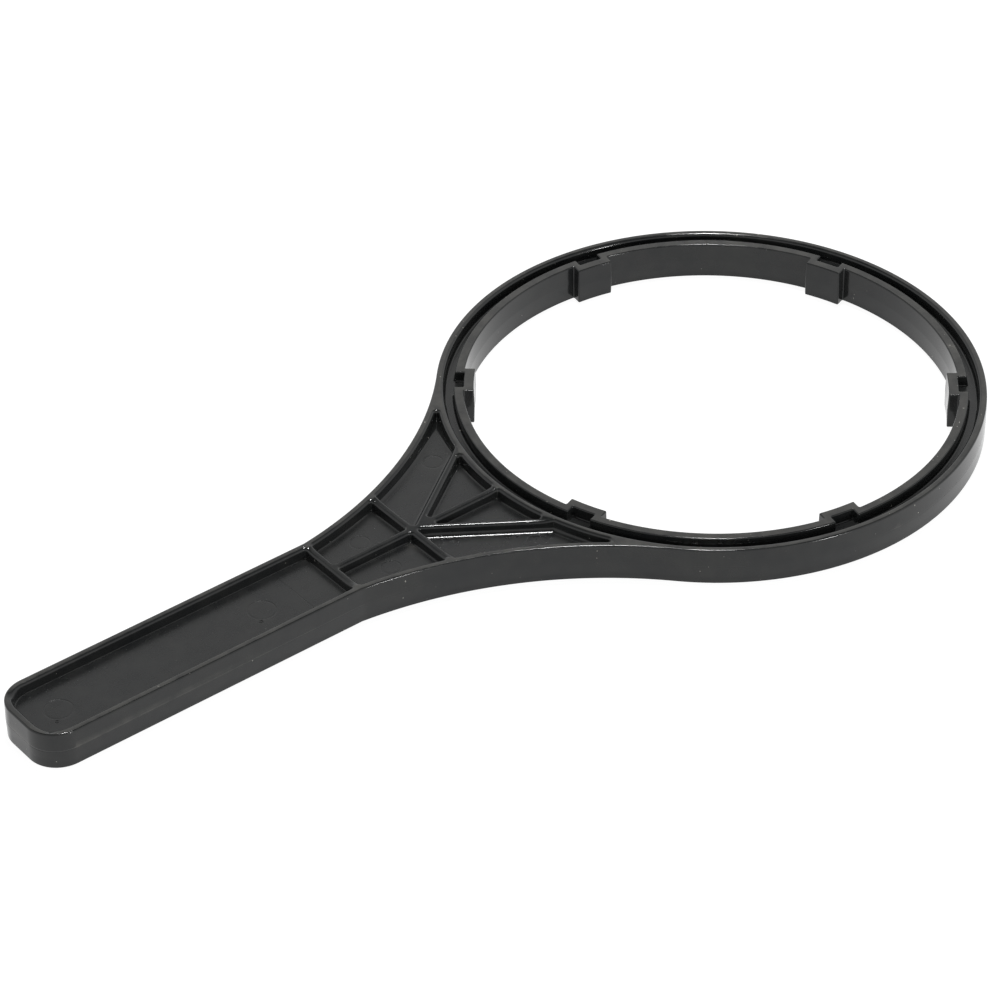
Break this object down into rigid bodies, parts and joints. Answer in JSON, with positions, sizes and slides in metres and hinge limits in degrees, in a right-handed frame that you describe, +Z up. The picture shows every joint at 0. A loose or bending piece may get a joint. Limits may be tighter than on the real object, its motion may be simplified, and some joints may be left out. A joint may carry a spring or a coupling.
{
  "type": "filter housing wrench",
  "caption": "One-piece moulded ring wrench with inward lugs and a straight ribbed handle, for turning the round bowl of a water filter housing.",
  "frame": {"origin": "centre of the part's bounding box at the height of its underside", "axes": "+X along the handle's centre line toward the ring, with the handle's end at -X; +Z up, out of the face that lies uppermost; +Y completes the right-handed set"},
  "size_m": [0.398, 0.2, 0.0142],
  "materials": {
    "black_plastic": "satin moulded polypropylene, charcoal black"
  },
  "bodies": {
    "root": {"wrench_body": "black_plastic"}
  },
  "joints": []
}
